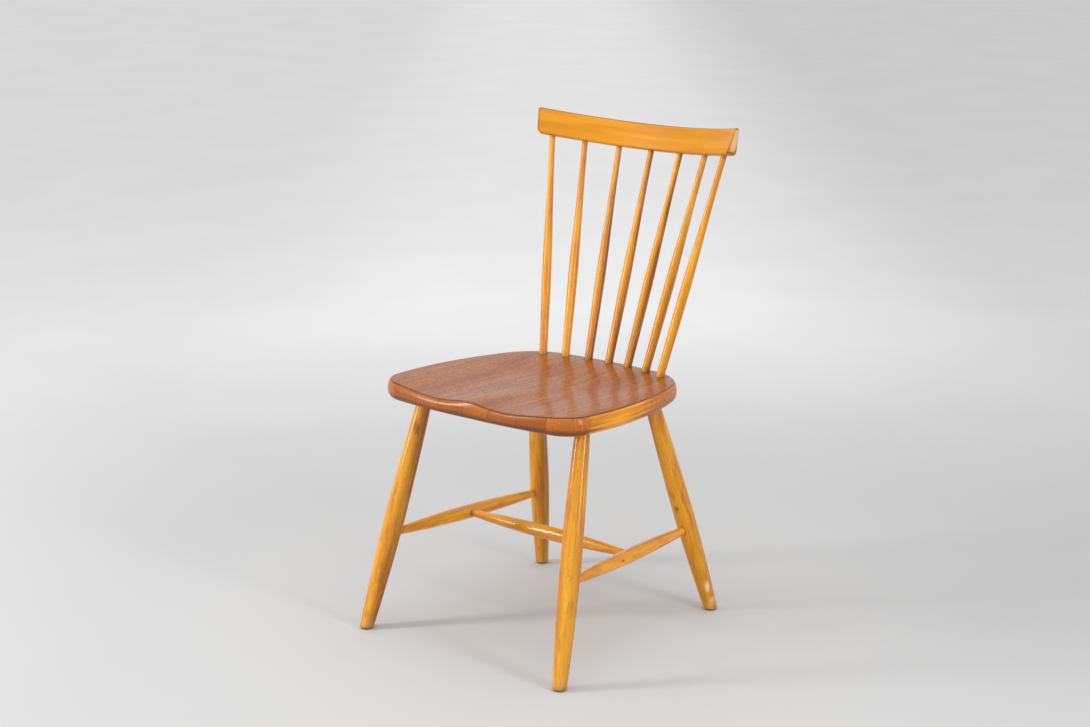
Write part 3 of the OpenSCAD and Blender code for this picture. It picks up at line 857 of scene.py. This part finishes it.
# %% How far inside the outline a point lies
def inset_of(x, y):
    """Distance to the corner circle where a corner is nearest, and to the nearest bow elsewhere."""
    p = np.stack([np.abs(x), y], -1)
    gap = lambda centre, radius: radius - np.linalg.norm(p - centre, axis=-1)
    bows = np.min([gap(front_bow, front_bow_r), gap(rear_bow, rear_bow_r), gap(side_bow, side_bow_r)], 0)
    turn = lambda a, b: a[..., 0] * b[..., 1] - a[..., 1] * b[..., 0]
    ahead, behind = p - front_corner, p - rear_corner
    at_front = turn(front_corner - front_bow, ahead) >= 0
    at_front &= turn(ahead, front_corner - side_bow) >= 0
    at_rear = turn(rear_corner - rear_bow, behind) <= 0
    at_rear &= turn(behind, rear_corner - side_bow) <= 0
    rounds = np.where(at_rear, gap(rear_corner, rear_corner_r), bows)
    return np.where(at_front, gap(front_corner, front_corner_r), rounds)


# %% [markdown]
# ## Carved slab
# The top is dished for the thighs: deepest at the middle, running out before the spindles,
# with a low ridge that rises towards the front. The edge is an egg: a tight curve above and a
# wide one below. Both are written as heights over the plan, so the slab, its staves and the
# veneer on top all agree.

# %% Heights over the plan
veneer_t = 0.9 * MM
low_round, top_round = 15.3 * MM, 6.4 * MM
edge_land = 0.03
dish_depth = 9 * MM


def hollow(x, y):
    """Depth of the dish: eased across and ahead, less a bell-shaped ridge at the front."""
    across = 1 - ease(70 * MM, 205 * MM, np.abs(x))
    ahead = ease(18 * MM, 150 * MM, -y)
    ridge = 0.72 * np.exp(-((x / (38.7 * MM)) ** 2)) * ease(205 * MM, 360 * MM, -y)
    return dish_depth * across * ahead * (1 - ridge)


def bulge(inset, radius):
    """A quarter circle: 0 at the outline, 1 from the radius inwards."""
    return np.sqrt(1 - np.clip(1 - inset / radius, 0, 1) ** 2)


def core_top(x, y, inset):
    """Height of the staves' upper surface."""
    height = seat_t - veneer_t - hollow(x, y)
    return -seat_t + height * mix(0.5 + edge_land, 1, bulge(inset, top_round))


def core_base(x, y, inset):
    """Height of the staves' lower surface."""
    height = seat_t - veneer_t - hollow(x, y)
    return -seat_t + height * mix(0.5 - edge_land, 0, bulge(inset, low_round))


# %% The slab as one skin
def slab_mesh():
    """Loops of the outline at growing insets: under the veneer, over the edge, and below."""
    loops = []
    hub = np.array([0, -190 * MM])
    inner = rim - rim_way * 14 * MM
    for share in (0.02, 0.3, 0.6, 0.85):
        xy = mix(hub, inner, share)
        loops.append((xy, core_top(*xy.T, inset_of(*xy.T)) - 0.2 * MM))
    for inset in (14 * MM, 10 * MM, 7.5 * MM):
        xy = rim - rim_way * inset
        loops.append((xy, core_top(*xy.T, inset) - 0.05 * MM))
    for turn in np.linspace(np.pi / 2, 0, 14):
        inset = top_round * (1 - np.cos(turn))
        xy = rim - rim_way * inset
        loops.append((xy, core_top(*xy.T, inset)))
    for turn in np.linspace(0, np.pi / 2, 20):
        inset = low_round * (1 - np.cos(turn))
        xy = rim - rim_way * inset
        loops.append((xy, core_base(*xy.T, inset)))
    base_edge = rim - rim_way * low_round
    for share in (0.93, 0.8, 0.6, 0.4, 0.2, 0.02):
        xy = mix(hub, base_edge, share)
        loops.append((xy, np.full(len(rim), -seat_t)))
    rings = np.array([from_seat(np.column_stack([xy, z])) for xy, z in loops])
    return tube_mesh("seat_slab", rings, 60)


# %% [markdown]
# ## Staves
# The slab is glued up from eight staves that run from front to back. The whole skin is cut by
# the planes of the glue lines, and each slice is closed with a flat face. Cutting one skin,
# and not shaping eight pieces, keeps the edge flush across every joint. Grain runs front to
# back, so the front and rear edges are end grain, which takes more finish and turns brown,
# while the sides are long grain and stay golden. Each stave also has its own shade.

# %% Cut the slab
glue_x = np.array([-168, -114, -60, -6, 47, 103, 160]) * MM


def slice_between(source, name, x0, x1):
    """A copy of the source between two upright planes, closed where they cut it."""
    bm = bmesh.new()
    bm.from_mesh(source)
    for x, side in ((x0, -1), (x1, 1)):
        if abs(x) > half_w:
            continue
        parts = [*bm.verts, *bm.edges, *bm.faces]
        cut = bmesh.ops.bisect_plane(
            bm, geom=parts, dist=1e-7, plane_co=(x, 0, 0), plane_no=(side, 0, 0), clear_outer=True)
        edges = [e for e in cut["geom_cut"] if isinstance(e, bmesh.types.BMEdge)]
        bmesh.ops.edgeloop_fill(bm, edges=edges)
    mesh = bpy.data.meshes.new(name)
    bm.to_mesh(mesh)
    bm.free()
    settle(mesh, 60)
    return mesh


# %% Stave wood
def make_core_wood():
    """The staves' wood: golden long grain, brown end grain, dark glue joins, painted shade under the edge,
    satin lacquer.
    """
    material, tree, shader = start_material("stained_staves", Coat_Weight=0.42, Coat_IOR=1.5)
    shader.inputs["Coat Roughness"].default_value = 0.13
    shader.inputs["Specular IOR Level"].default_value = 0.1
    place = attribute(tree, "grain", "Vector")
    bands, streaks, rings, rays = beech_figure(tree, place)
    tone = attribute(tree, "tone")
    long_grain = lay(tree, span(tree, bands, 0.32, 0.7), rgb(0.76, 0.310, 0.012), rgb(0.52, 0.170, 0.008))
    long_grain = lay(tree, span(tree, streaks, 0.5, 0.8, 0, 0.5), long_grain, rgb(0.33, 0.100, 0.010))
    end_grain = lay(tree, span(tree, noise(tree, place, 0.0016, 0.02, 3.0), 0.35, 0.7),
                    rgb(0.500, 0.140, 0.018), rgb(0.330, 0.080, 0.010))
    end_grain = lay(tree, span(tree, rings, 0.6, 1.0, 0, 0.3), end_grain, rgb(0.23, 0.06, 0.010))
    colour = lay(tree, attribute(tree, "endgrain"), long_grain, end_grain)
    shade = lay(tree, tone, rgb(0.64, 0.55, 0.50), rgb(1.12, 1.20, 1.0))
    colour = lay(tree, 1.0, colour, shade, "MULTIPLY")
    colour = lay(tree, times(tree, rays, 0.3), colour, rgb(0.20, 0.06, 0.012))
    # Dark glue joins and the veneer's rim, with painted shade on the lower round of the end grain.
    colour = lay(tree, attribute(tree, "seam"), colour, rgb(0.075, 0.022, 0.008))
    tree.links.new(colour, shader.inputs["Base Color"])
    gloss = span(tree, noise(tree, place, 0.01, 0.03, 2.0), 0.3, 0.75, 0.28, 0.42)
    tree.links.new(gloss, shader.inputs["Roughness"])
    relief(tree, shader, plus(tree, times(tree, rays, -0.6), streaks), 0.05 * MM, 0.5)
    return material


core_wood = make_core_wood()

# %% Where a stave darkens: dark glue and rim, and painted shade under the edge
veneer_rim = 4.3 * MM


def stave_marks(mesh, across, back, up):
    """End grain, and dark marks with painted shade, each a share of 0 to 1.

    End grain shows where the edge faces front or rear, with a ragged border at the corners.
    Lines follow the glue and the veneer's rim, and painted shade darkens the lower round of the end grain."""
    facing = normals_of(mesh) @ seat_axes.T
    ragged = 0.05 * np.sin(up * 700) + 0.03 * np.sin(up * 1900 + 1)
    ahead = np.abs(facing[:, 1]) / np.hypot(facing[:, 0], facing[:, 1]).clip(0.05)
    flat = np.abs(facing[:, 2])
    end_share = ease(0.05, 0.17, ahead + ragged) * ease(0.98, 0.80, flat)
    # Painted shade on the down-facing round of the edge, laid where it is end grain.
    lower_rim_shade = 0.68 * ease(0.15, -0.6, facing[:, 2]) * (flat < 0.98)
    glue_line = 0.5 * ease(0.8 * MM, 0.15 * MM, np.abs(across[:, None] - glue_x).min(1))
    rim_gap = np.abs(inset_of(across, back) - veneer_rim)
    rim_line = 0.7 * ease(0.9 * MM, 0.2 * MM, rim_gap) * (up > -12 * MM)
    lines_and_shade = np.maximum(np.maximum(glue_line, rim_line), lower_rim_shade * end_share)
    return end_share, np.clip(lines_and_shade, 0, 1)


# %% Staves in the scene
slab = slab_mesh()
cuts = np.concatenate([[-1.0], glue_x, [1.0]])
stave_tones = [0.85, 0.45, 0.62, 0.40, 0.72, 0.45, 0.30, 1.0]
for number, (x0, x1) in enumerate(zip(cuts[:-1], cuts[1:]), 1):
    mesh = slice_between(slab, f"seat_board_{number}", x0, x1)
    across, back, up = to_seat(points_of(mesh)).T
    end_share, lines_and_shade = stave_marks(mesh, across, back, up)
    pith = wood.uniform(0.03, 0.1, 2)
    grain = np.stack([across + pith[0] * (-1) ** number, up + pith[1], back + number], 1)
    tone = across * 0 + stave_tones[number - 1]
    mark(mesh, grain=grain, endgrain=end_share, seam=lines_and_shade, tone=tone)
    add_piece(mesh, "seat_core", core_wood, f"seat_stave_{number}")
bpy.data.meshes.remove(slab)

# %% [markdown]
# ## Seat veneer
# A sheet of teak-coloured veneer lies in the hollow. Its grain runs straight from front to
# back, with short dark pores and soft ribbons of lighter and darker wood. It is the face that
# is looked at most, so its grid is fine and has no pole in the middle: a square grid is
# bent into a disc, x times sqrt(1 - y^2 / 2), and the disc is stretched to the outline.

# %% The sheet's grid
veneer_inset = 4.4 * MM
sand_w = 1.5 * MM
hub = np.array([0, -185 * MM])


def rim_reach(angle, inset):
    """Distance from the hub to the outline at an inset, in each direction."""
    ray = rim - rim_way * inset - hub
    seen = np.arctan2(ray[:, 1], ray[:, 0])
    order = np.argsort(seen)
    return np.interp(angle, seen[order], np.linalg.norm(ray, axis=1)[order], period=2 * np.pi)


def veneer_mesh(steps=150):
    """Top sheet, sanded rim, and a lower sheet that lies on the staves."""
    u, v = np.meshgrid(*[np.linspace(-1, 1, steps + 1)] * 2, indexing="ij")
    dx, dy = u * np.sqrt(1 - v * v / 2), v * np.sqrt(1 - u * u / 2)
    angle, share = np.arctan2(dy, dx), np.minimum(np.hypot(dx, dy), 1)
    reach = share * rim_reach(angle, veneer_inset + sand_w)
    x, y = hub[0] + reach * np.cos(angle), hub[1] + reach * np.sin(angle)
    top = core_top(x, y, inset_of(x, y)) + veneer_t
    low = core_top(x, y, inset_of(x, y))
    k, row = np.arange(steps), steps + 1
    edge = np.concatenate([k * row, steps * row + k, (steps - k) * row + steps, steps - k])
    turn = angle.ravel()[edge]
    rows = []
    glue_gap = 0.12
    for t in np.linspace(0, 1, 7)[1:]:
        inset = veneer_inset + sand_w * (1 - np.sin(t * np.pi / 2))
        far = rim_reach(turn, inset)
        ex, ey = hub[0] + far * np.cos(turn), hub[1] + far * np.sin(turn)
        drop = veneer_t * mix(1, glue_gap, 1 - np.cos(t * np.pi / 2))
        rows.append(np.stack([ex, ey, core_top(ex, ey, inset) + drop], 1))
    rows.append(rows[-1] - [0, 0, glue_gap * veneer_t])
    size = row**2
    sheets = [np.stack([x, y, z], -1).reshape(-1, 3) for z in (top, low)]
    points = np.vstack([sheets[0], sheets[1], *rows])
    faces = [sheet_faces(row, row), sheet_faces(row, row)[:, ::-1] + size]
    around = np.arange(len(edge))
    rim_rings = [2 * size + i * len(edge) + around for i in range(len(rows))]
    ring = [edge, *rim_rings, edge + size]
    for one, two in zip(ring[:-1], ring[1:]):
        faces.append(np.stack([one, np.roll(one, -1), np.roll(two, -1), two], 1))
    return closed_mesh("seat_veneer_sheet", from_seat(points), faces, 55)


# %% Teak-coloured veneer
def make_veneer():
    """Brown veneer: ribbons, fine streaks, open pores, satin lacquer and a darkened rim."""
    material, tree, shader = start_material("teak_veneer", Coat_Weight=0.44, Coat_IOR=1.44)
    shader.inputs["Coat Roughness"].default_value = 0.17
    shader.inputs["Specular IOR Level"].default_value = 0.1
    place = attribute(tree, "grain", "Vector")
    ribbons = noise(tree, place, 0.034, 0.55, 3.0, 0.5, 0.5)
    streaks = noise(tree, place, 0.0030, 0.11, 4.0, 0.62, 0.4)
    fine = noise(tree, place, 0.0011, 0.035, 2.0, 0.6)
    pores = span(tree, noise(tree, place, 0.00055, 0.0075, 2.0, 0.5), 0.54, 0.64)
    colour = lay(tree, span(tree, ribbons, 0.3, 0.72), rgb(0.385, 0.115, 0.020), rgb(0.290, 0.075, 0.010))
    colour = lay(tree, span(tree, streaks, 0.42, 0.72, 0, 0.62), colour, rgb(0.165, 0.042, 0.008))
    colour = lay(tree, span(tree, fine, 0.5, 0.8, 0, 0.4), colour, rgb(0.52, 0.185, 0.045))
    colour = lay(tree, times(tree, pores, 0.72), colour, rgb(0.050, 0.014, 0.005))
    colour = lay(tree, attribute(tree, "seam"), colour, rgb(0.035, 0.012, 0.008))
    tree.links.new(colour, shader.inputs["Base Color"])
    gloss = plus(tree, span(tree, streaks, 0.3, 0.7, 0.30, 0.42), times(tree, pores, 0.2))
    tree.links.new(gloss, shader.inputs["Roughness"])
    height = plus(tree, times(tree, pores, -1.0), times(tree, fine, 0.5))
    relief(tree, shader, height, 0.06 * MM, 0.6)
    return material


veneer = make_veneer()

# %% Veneer in the scene, with a dark rim and a dark ring round each spindle
mesh = veneer_mesh()
across, back, up = to_seat(points_of(mesh)).T
rim_gap = inset_of(across, back) - veneer_inset
rim_line = 0.75 * ease(0.9 * MM, 0.25 * MM, rim_gap)
foot_gap = np.min([np.linalg.norm(points_of(mesh) - f, axis=1) for f in feet], 0)
foot_ring = 0.9 * ease(10.5 * MM, 8.2 * MM, foot_gap)
grain = np.stack([across + 0.4, up * 0 + 0.2, back + 0.9], 1)
mark(mesh, grain=grain, seam=np.maximum(rim_line, foot_ring))
add_piece(mesh, "seat_top", veneer, "seat_veneer")

# %% [markdown]
# ## Glides
# A dark plastic disc is nailed under each foot, with a pad of pressed felt below it that
# slides on the floor. Both are small lathe shapes: the disc has rounded edges, and the pad's
# edge bulges a little and is ragged, as felt under load is.

# %% Disc and pad shapes
glide_r = 10.6 * MM
pad_t = 1.4 * MM
pad_in = 0.7 * MM
disc_edge, pad_edge = 0.8 * MM, 0.5 * MM
ROUND = 96
turn = np.arange(ROUND) * 2 * np.pi / ROUND


def round_slab(centre, z0, z1, radius, edge, ragged=0.0):
    """A disc whose edge is a half circle squeezed to `edge`, and whose radius may wander."""
    rings = []
    waves = np.sin(5 * turn + 1) + 0.6 * np.sin(11 * turn) + 0.4 * np.sin(23 * turn + 2)
    wander = 1 + ragged * waves
    for share in (0.3, 0.7):
        rings.append((radius - edge) * share + 0 * turn)
    heights = [z0, z0]
    for t in np.linspace(-np.pi / 2, np.pi / 2, 13):
        rings.append((radius - edge + edge * np.cos(t)) * wander)
        heights.append(mix(z0, z1, 0.5 + 0.5 * np.sin(t)))
    for share in (0.7, 0.3):
        rings.append((radius - edge) * share + 0 * turn)
        heights.append(z1)
    r, z = np.array(rings), np.broadcast_to(np.array(heights)[:, None], (len(rings), ROUND))
    return np.stack([centre[0] + r * np.cos(turn), centre[1] + r * np.sin(turn), z], -1)


# %% Plastic, felt and nail steel
def make_plastic():
    """Dark brown moulded plastic, dulled and faintly scratched by the floor."""
    material, tree, shader = start_material("brown_plastic", Specular_IOR_Level=0.45)
    place = add(tree, "TexCoord").outputs["Object"]
    mottle = noise(tree, place, 0.004, 0.004, 4.0)
    scratch = noise(tree, place, 0.0007, 0.012, 2.0)
    colour = lay(tree, span(tree, mottle, 0.3, 0.7), rgb(0.110, 0.055, 0.026), rgb(0.20, 0.105, 0.050))
    colour = lay(tree, span(tree, scratch, 0.62, 0.75, 0, 0.5), colour, rgb(0.26, 0.19, 0.13))
    tree.links.new(colour, shader.inputs["Base Color"])
    tree.links.new(span(tree, mottle, 0.3, 0.7, 0.38, 0.6), shader.inputs["Roughness"])
    relief(tree, shader, mottle, 0.08 * MM, 0.4)
    return material


def make_felt():
    """Pressed felt: tangled fibres in two tans, greyed by dust."""
    material, tree, shader = start_material("tan_felt", Sheen_Weight=0.35, Roughness=0.95)
    place = add(tree, "TexCoord").outputs["Object"]
    fibres = noise(tree, place, 0.00035, 0.0016, 4.0, 0.7, 1.5)
    dust = noise(tree, place, 0.005, 0.005, 2.0)
    colour = lay(tree, span(tree, fibres, 0.35, 0.65), rgb(0.20, 0.125, 0.066), rgb(0.42, 0.29, 0.165))
    colour = lay(tree, span(tree, dust, 0.4, 0.75, 0, 0.45), colour, rgb(0.30, 0.27, 0.23))
    tree.links.new(colour, shader.inputs["Base Color"])
    relief(tree, shader, fibres, 0.25 * MM, 0.8)
    return material


def make_steel():
    """Nail steel, tarnished in small patches that are rougher and browner."""
    material, tree, shader = start_material("nail_steel", Metallic=1.0)
    place = add(tree, "TexCoord").outputs["Object"]
    tarnish = noise(tree, place, 0.0012, 0.003, 3.0)
    colour = lay(tree, span(tree, tarnish, 0.35, 0.7), rgb(0.42, 0.41, 0.40), rgb(0.24, 0.19, 0.15))
    tree.links.new(colour, shader.inputs["Base Color"])
    tree.links.new(span(tree, tarnish, 0.3, 0.7, 0.25, 0.5), shader.inputs["Roughness"])
    return material


# %% Glides, pads and nails in the scene
plastic, felt, steel = make_plastic(), make_felt(), make_steel()
for corner in leg_ends:
    centre = leg_point(corner, foot_z)
    disc_rings = round_slab(centre, pad_t, foot_z, glide_r, disc_edge)
    disc = tube_mesh("glide_disc_" + corner, disc_rings, 35)
    add_piece(disc, "glide_disc", plastic, "glide_" + corner)
    pad_rings = round_slab(centre, 0, pad_t, glide_r - pad_in, pad_edge, 0.008)
    pad = tube_mesh("felt_pad_" + corner, pad_rings, 50)
    add_piece(pad, "glide_pad", felt, "glide_pad_" + corner)
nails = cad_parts["glide_nails"]
nails.data.materials.clear()
nails.data.materials.append(steel)

# %% [markdown]
# ## Floor and light
# The chair stands in a plain pale studio on one wide floor, which runs back out of sight.
# Near the chair the soft boxes light it strongly, so the paper there is a darker grey, and to
# both sides it carries painted shade. A pale sky fills the shadows, two upright soft boxes left
# and right draw the long bright lines on the lacquer, and a wide one overhead softens the
# shadow on the floor.

# %% Floor
def make_floor_paper():
    """Matt pale paper: greyer near the chair, where the soft boxes light it, with painted shade to both
    sides and the faintest mottle.
    """
    material, tree, shader = start_material("studio_paper", Roughness=0.9, Specular_IOR_Level=0.2)
    place = add(tree, "TexCoord").outputs["Object"]
    mottle = noise(tree, place, 0.35, 0.35, 3.0)
    reach = add(tree, "VectorMath", {0: place}, operation="LENGTH").outputs["Value"]
    colour = lay(tree, span(tree, reach, 0.7, 2.6), rgb(0.550, 0.550, 0.551), rgb(0.92, 0.918, 0.918))
    colour = lay(tree, span(tree, mottle, 0.3, 0.7, 0, 0.05), colour, rgb(0.45, 0.45, 0.45))
    # Painted shade to both sides of the chair, stronger along this direction than against it.
    across = {0: place, 1: (0.774, 0.633, 0.0)}
    sideways = add(tree, "VectorMath", across, operation="DOT_PRODUCT").outputs["Value"]
    right_dusk = span(tree, sideways, 0.3, 1.5, 0, 0.26)
    left_dusk = span(tree, times(tree, sideways, -1), 0.2, 1.2, 0, 0.13)
    colour = lay(tree, plus(tree, right_dusk, left_dusk), colour, rgb(0.10, 0.10, 0.11))
    tree.links.new(colour, shader.inputs["Base Color"])
    return material


ring_r = np.concatenate([[0.2], np.geomspace(0.6, 60, 24)])[:, None]
rings = np.stack([ring_r * np.cos(turn), ring_r * np.sin(turn), 0 * ring_r * turn], -1)
mesh = bpy.data.meshes.new("studio_floor")
points = np.vstack([rings.reshape(-1, 3), [[0, 0, 0]]])
middle_fan = fan_faces(np.arange(ROUND), len(points) - 1)
faces = [*tube_faces(len(ring_r), ROUND).tolist(), *middle_fan.tolist()]
mesh.from_pydata(points.tolist(), [], faces)
mesh.update()
if mesh.polygons[0].normal.z < 0:
    mesh.flip_normals()
mesh.materials.append(make_floor_paper())
floor = bpy.data.objects.new("studio_floor", mesh)
bpy.context.scene.collection.objects.link(floor)

# %% Sky and soft boxes
scene = bpy.context.scene
world = bpy.data.worlds.new("pale_sky")
world.use_nodes = True
scene.world = world
sky = world.node_tree.nodes["Background"]
sky.inputs["Color"].default_value = rgb(1.0, 1.0, 1.0)
sky.inputs["Strength"].default_value = 0.84
look_at = Vector((0, 0, 0.45))


def soft_box(name, azimuth, height, distance, width, tall, power):
    """A rectangular light at an azimuth round the chair, turned towards its middle."""
    light = bpy.data.lights.new(name, "AREA")
    light.shape = "RECTANGLE"
    light.size, light.size_y, light.energy = width, tall, power
    lamp = bpy.data.objects.new(name, light)
    around = deg(azimuth)
    lamp.location = (distance * np.sin(around), -distance * np.cos(around), height)
    aim = look_at - lamp.location
    lamp.rotation_euler = aim.to_track_quat("-Z", "Y").to_euler()
    scene.collection.objects.link(lamp)
    print(f"{name}: {power} W at {distance} m")


soft_box("box_left", -42, 1.35, 2.3, 0.34, 1.5, 30)
soft_box("box_right", 84, 1.25, 2.4, 0.40, 1.5, 18)
soft_box("box_overhead", 30, 2.7, 0.6, 2.4, 2.4, 15)

# %% [markdown]
# ## Camera
# A long lens from a few metres keeps the legs parallel, as a product camera does. It looks
# slightly down from the sitter's left front. The shift stays at zero.

# %% Camera
azimuth, elevation, distance = deg(39.3), deg(14.3), 3.6
aim = Vector((-0.0171, -0.0159, 0.454))
flat = np.cos(elevation)
back = Vector((np.sin(azimuth) * flat, -np.cos(azimuth) * flat, np.sin(elevation)))
lens = bpy.data.cameras.new("camera")
lens.sensor_width = 36
lens.lens = 69.85
camera = bpy.data.objects.new("camera", lens)
camera.location = aim + back * distance
camera.rotation_euler = (-back).to_track_quat("-Z", "Y").to_euler()
scene.collection.objects.link(camera)
scene.camera = camera
scene.view_settings.view_transform = "Standard"
print("camera:", [round(v, 3) for v in camera.location])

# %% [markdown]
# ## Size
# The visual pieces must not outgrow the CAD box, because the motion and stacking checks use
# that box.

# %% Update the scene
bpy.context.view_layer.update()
